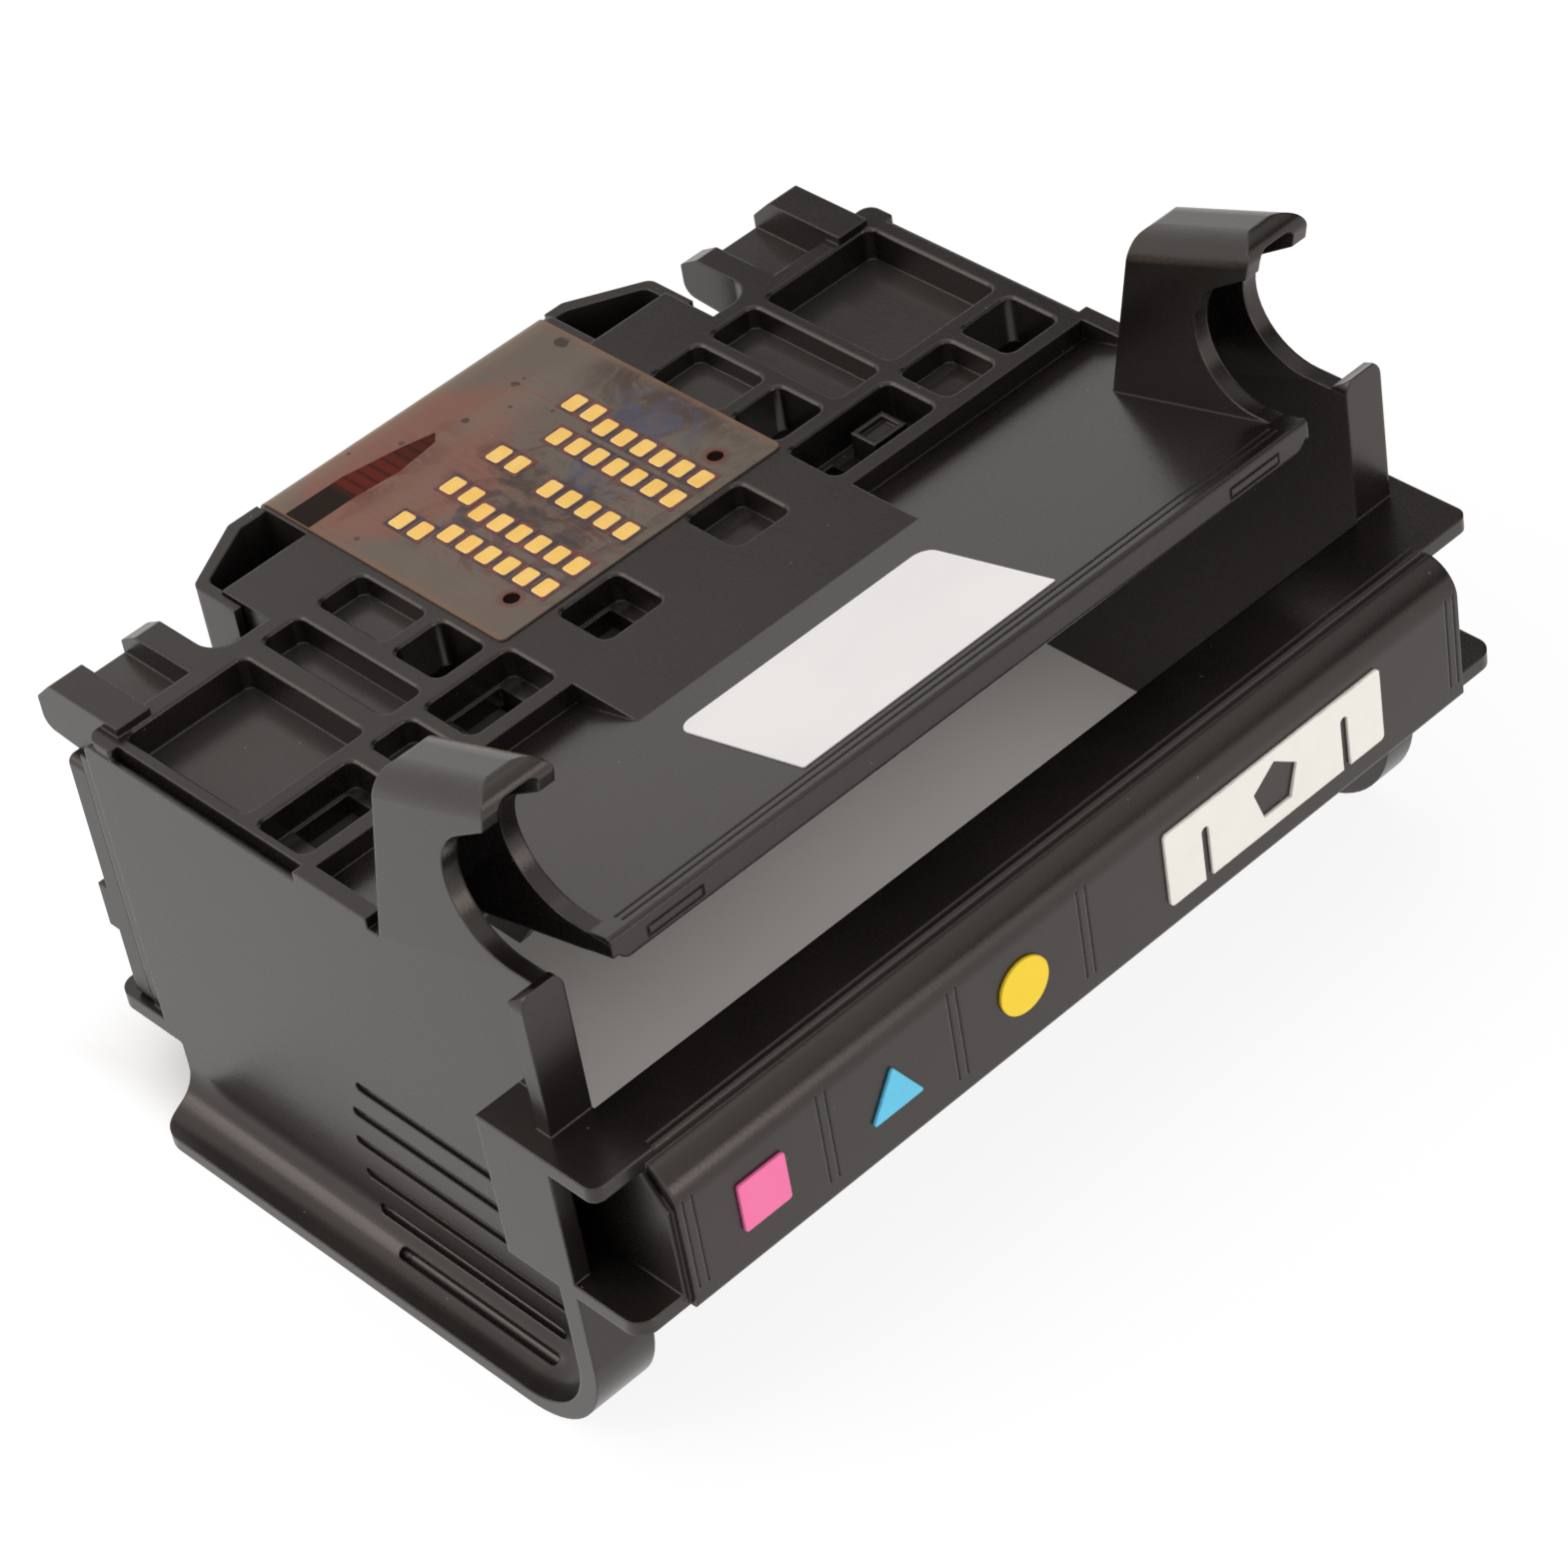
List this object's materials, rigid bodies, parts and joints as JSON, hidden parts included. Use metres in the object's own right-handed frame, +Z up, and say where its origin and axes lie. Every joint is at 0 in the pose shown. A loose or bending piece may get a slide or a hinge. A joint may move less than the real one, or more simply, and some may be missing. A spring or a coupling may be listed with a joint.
{
  "type": "inkjet printhead",
  "caption": "Black carriage printhead for single ink cartridges, with hooked latch arms, a gold contact film, a nozzle face and a bar with coloured cartridge marks.",
  "frame": {"origin": "middle of the overall footprint at the underside of the side fins", "axes": "+X across the cartridge bays to the right when the coloured bar is seen from the front, +Y from the coloured bar back to the nozzle face, +Z up from the fins to the contact face"},
  "size_m": [0.105, 0.0852, 0.0666],
  "materials": {
    "cradle_plastic": "fine spark-eroded texture, slightly glossy edges",
    "snout_plastic": "fine matte",
    "manifold_plastic": "smooth moulded",
    "seal_rubber": "soft matte",
    "carrier_ceramic": "fine ground",
    "die_silicon": "polished",
    "resin": "glossy bead",
    "flex_film": "glossy amber film over dark traces",
    "pad_gold": "gold plated, lightly scratched",
    "magenta_mark": "printed",
    "cyan_mark": "printed",
    "yellow_mark": "printed",
    "white_mark": "printed",
    "label_paper": "smooth coated",
    "screen_steel": "fine woven mesh",
    "block_plastic": "smooth moulded",
    "spring_gold": "gold plated strip"
  },
  "bodies": {
    "root": {"cradle_body": "cradle_plastic", "nozzle_snout": "snout_plastic", "ink_manifold": "manifold_plastic", "manifold_gasket": "seal_rubber", "die_carrier": "carrier_ceramic", "black_nozzle_die": "die_silicon", "colour_nozzle_die": "die_silicon", "die_encapsulant": "resin", "flex_circuit": "flex_film", "contact_pads": "pad_gold", "magenta_square": "magenta_mark", "cyan_triangle": "cyan_mark", "yellow_circle": "yellow_mark", "white_mark_plate": "white_mark", "blank_label": "label_paper", "filter_screen_magenta": "screen_steel", "filter_screen_cyan": "screen_steel", "filter_screen_yellow": "screen_steel", "filter_screen_black": "screen_steel", "tower_seal_magenta": "seal_rubber", "tower_seal_cyan": "seal_rubber", "tower_seal_yellow": "seal_rubber", "tower_seal_black": "seal_rubber", "contact_block_magenta": "block_plastic", "contact_block_cyan": "block_plastic", "contact_block_yellow": "block_plastic", "contact_block_black": "block_plastic", "contact_springs_magenta": "spring_gold", "contact_springs_cyan": "spring_gold", "contact_springs_yellow": "spring_gold", "contact_springs_black": "spring_gold"}
  },
  "joints": []
}
